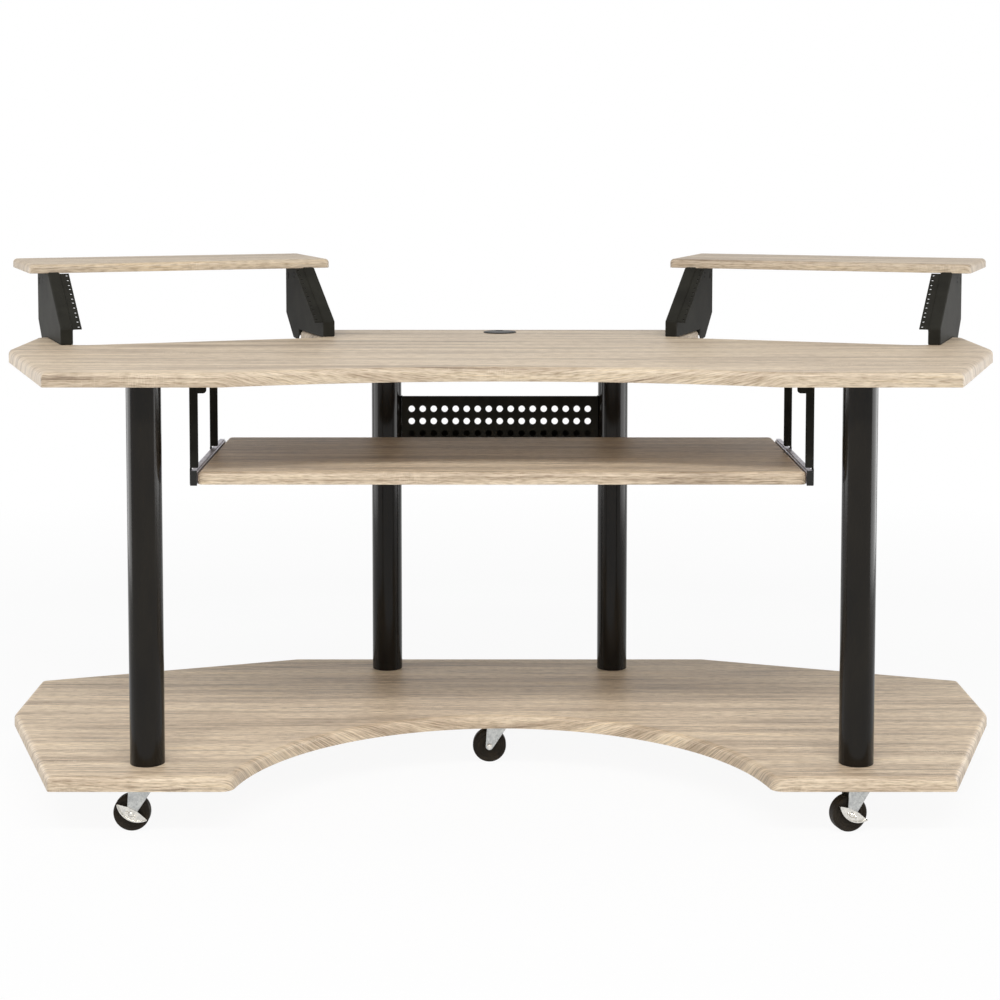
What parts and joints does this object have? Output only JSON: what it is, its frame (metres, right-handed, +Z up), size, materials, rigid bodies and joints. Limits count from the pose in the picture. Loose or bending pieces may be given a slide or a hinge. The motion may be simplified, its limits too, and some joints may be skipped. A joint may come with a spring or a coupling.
{
  "type": "studio desk",
  "caption": "Wheeled studio desk: winged wood top and base held apart by round posts, raised shelves over slanted rack bays, sliding keyboard tray, cable trough and swivel casters",
  "frame": {"origin": "on the floor, under the middle of the overall box", "axes": "+X to the seated user's right, -Y towards the user, +Z up"},
  "size_m": [2.0014, 1.0618, 0.9375],
  "materials": {
    "wood": "light oak foil, satin",
    "black_tube": "black powder coat, satin",
    "black_sheet": "charcoal powder coat, fine texture",
    "plug_steel": "zinc plated",
    "zinc": "zinc plated, satin",
    "bright_steel": "bright plated",
    "tread": "black rubber, matte",
    "black_plastic": "black moulded plastic"
  },
  "bodies": {
    "frame": {"desk_top": "wood", "base_panel": "wood", "shelf_left": "wood", "shelf_right": "wood", "post_front_left": "black_tube", "post_front_right": "black_tube", "post_rear_left": "black_tube", "post_rear_right": "black_tube", "post_plug_front_left_bottom": "plug_steel", "post_plug_front_left_top": "plug_steel", "post_plug_front_right_bottom": "plug_steel", "post_plug_front_right_top": "plug_steel", "post_plug_rear_left_bottom": "plug_steel", "post_plug_rear_left_top": "plug_steel", "post_plug_rear_right_bottom": "plug_steel", "post_plug_rear_right_top": "plug_steel", "stand_left_outer": "black_sheet", "stand_left_inner": "black_sheet", "stand_right_outer": "black_sheet", "stand_right_inner": "black_sheet", "rack_rail_left_outer": "black_sheet", "rack_rail_left_inner": "black_sheet", "rack_rail_right_outer": "black_sheet", "rack_rail_right_inner": "black_sheet", "hanger_left_front": "black_sheet", "hanger_left_rear": "black_sheet", "hanger_right_front": "black_sheet", "hanger_right_rear": "black_sheet", "slide_outer_left": "zinc", "slide_outer_right": "zinc", "cable_trough": "black_sheet", "grommet_liner": "black_plastic", "caster_plate_front_left": "zinc", "caster_plate_front_right": "zinc", "caster_plate_centre": "zinc", "caster_plate_rear_left": "zinc", "caster_plate_rear_right": "zinc"},
    "tray": {"keyboard_tray": "wood", "slide_inner_left": "zinc", "slide_inner_right": "zinc"},
    "grommet_cap": {"grommet_cap": "black_plastic"},
    "swivel_front_left": {"caster_fork_front_left": "zinc", "caster_axle_front_left": "bright_steel"},
    "wheel_front_left": {"caster_wheel_front_left": "tread"},
    "brake_front_left": {"brake_lever_front_left": "bright_steel"},
    "swivel_front_right": {"caster_fork_front_right": "zinc", "caster_axle_front_right": "bright_steel"},
    "wheel_front_right": {"caster_wheel_front_right": "tread"},
    "brake_front_right": {"brake_lever_front_right": "bright_steel"},
    "swivel_centre": {"caster_fork_centre": "zinc", "caster_axle_centre": "bright_steel"},
    "wheel_centre": {"caster_wheel_centre": "tread"},
    "swivel_rear_left": {"caster_fork_rear_left": "zinc", "caster_axle_rear_left": "bright_steel"},
    "wheel_rear_left": {"caster_wheel_rear_left": "tread"},
    "swivel_rear_right": {"caster_fork_rear_right": "zinc", "caster_axle_rear_right": "bright_steel"},
    "wheel_rear_right": {"caster_wheel_rear_right": "tread"}
  },
  "joints": [
    {"name": "tray_slide", "type": "slide", "parent": "frame", "child": "tray", "axis": [0, -1, 0], "range_m": [0, 0.28]},
    {"name": "cap_turn", "type": "hinge", "parent": "frame", "child": "grommet_cap", "pos_m": [0, 0.23507, 0.7919], "axis": [0, 0, 1], "continuous": true},
    {"name": "front_left_swivel", "type": "hinge", "parent": "frame", "child": "swivel_front_left", "pos_m": [-0.612, -0.48093, 0.08], "axis": [0, 0, 1], "continuous": true},
    {"name": "front_left_roll", "type": "hinge", "parent": "swivel_front_left", "child": "wheel_front_left", "pos_m": [-0.633, -0.48093, 0.0315], "axis": [0, 1, 0], "continuous": true},
    {"name": "front_left_brake", "type": "hinge", "parent": "swivel_front_left", "child": "brake_front_left", "pos_m": [-0.633, -0.48093, 0.0315], "axis": [0, 1, 0], "range_deg": [-24, 0]},
    {"name": "front_right_swivel", "type": "hinge", "parent": "frame", "child": "swivel_front_right", "pos_m": [0.612, -0.48093, 0.08], "axis": [0, 0, 1], "continuous": true},
    {"name": "front_right_roll", "type": "hinge", "parent": "swivel_front_right", "child": "wheel_front_right", "pos_m": [0.59172, -0.48636, 0.0315], "axis": [-0.2588, 0.9659, 0], "continuous": true},
    {"name": "front_right_brake", "type": "hinge", "parent": "swivel_front_right", "child": "brake_front_right", "pos_m": [0.59172, -0.48636, 0.0315], "axis": [-0.2588, 0.9659, 0], "range_deg": [-24, 0]},
    {"name": "centre_swivel", "type": "hinge", "parent": "frame", "child": "swivel_centre", "pos_m": [0, -0.07193, 0.08], "axis": [0, 0, 1], "continuous": true},
    {"name": "centre_roll", "type": "hinge", "parent": "swivel_centre", "child": "wheel_centre", "pos_m": [-0.021, -0.07193, 0.0315], "axis": [0, 1, 0], "continuous": true},
    {"name": "rear_left_swivel", "type": "hinge", "parent": "frame", "child": "swivel_rear_left", "pos_m": [-0.38, 0.22907, 0.08], "axis": [0, 0, 1], "continuous": true},
    {"name": "rear_left_roll", "type": "hinge", "parent": "swivel_rear_left", "child": "wheel_rear_left", "pos_m": [-0.401, 0.22907, 0.0315], "axis": [0, 1, 0], "continuous": true},
    {"name": "rear_right_swivel", "type": "hinge", "parent": "frame", "child": "swivel_rear_right", "pos_m": [0.38, 0.22907, 0.08], "axis": [0, 0, 1], "continuous": true},
    {"name": "rear_right_roll", "type": "hinge", "parent": "swivel_rear_right", "child": "wheel_rear_right", "pos_m": [0.359, 0.22907, 0.0315], "axis": [0, 1, 0], "continuous": true}
  ]
}
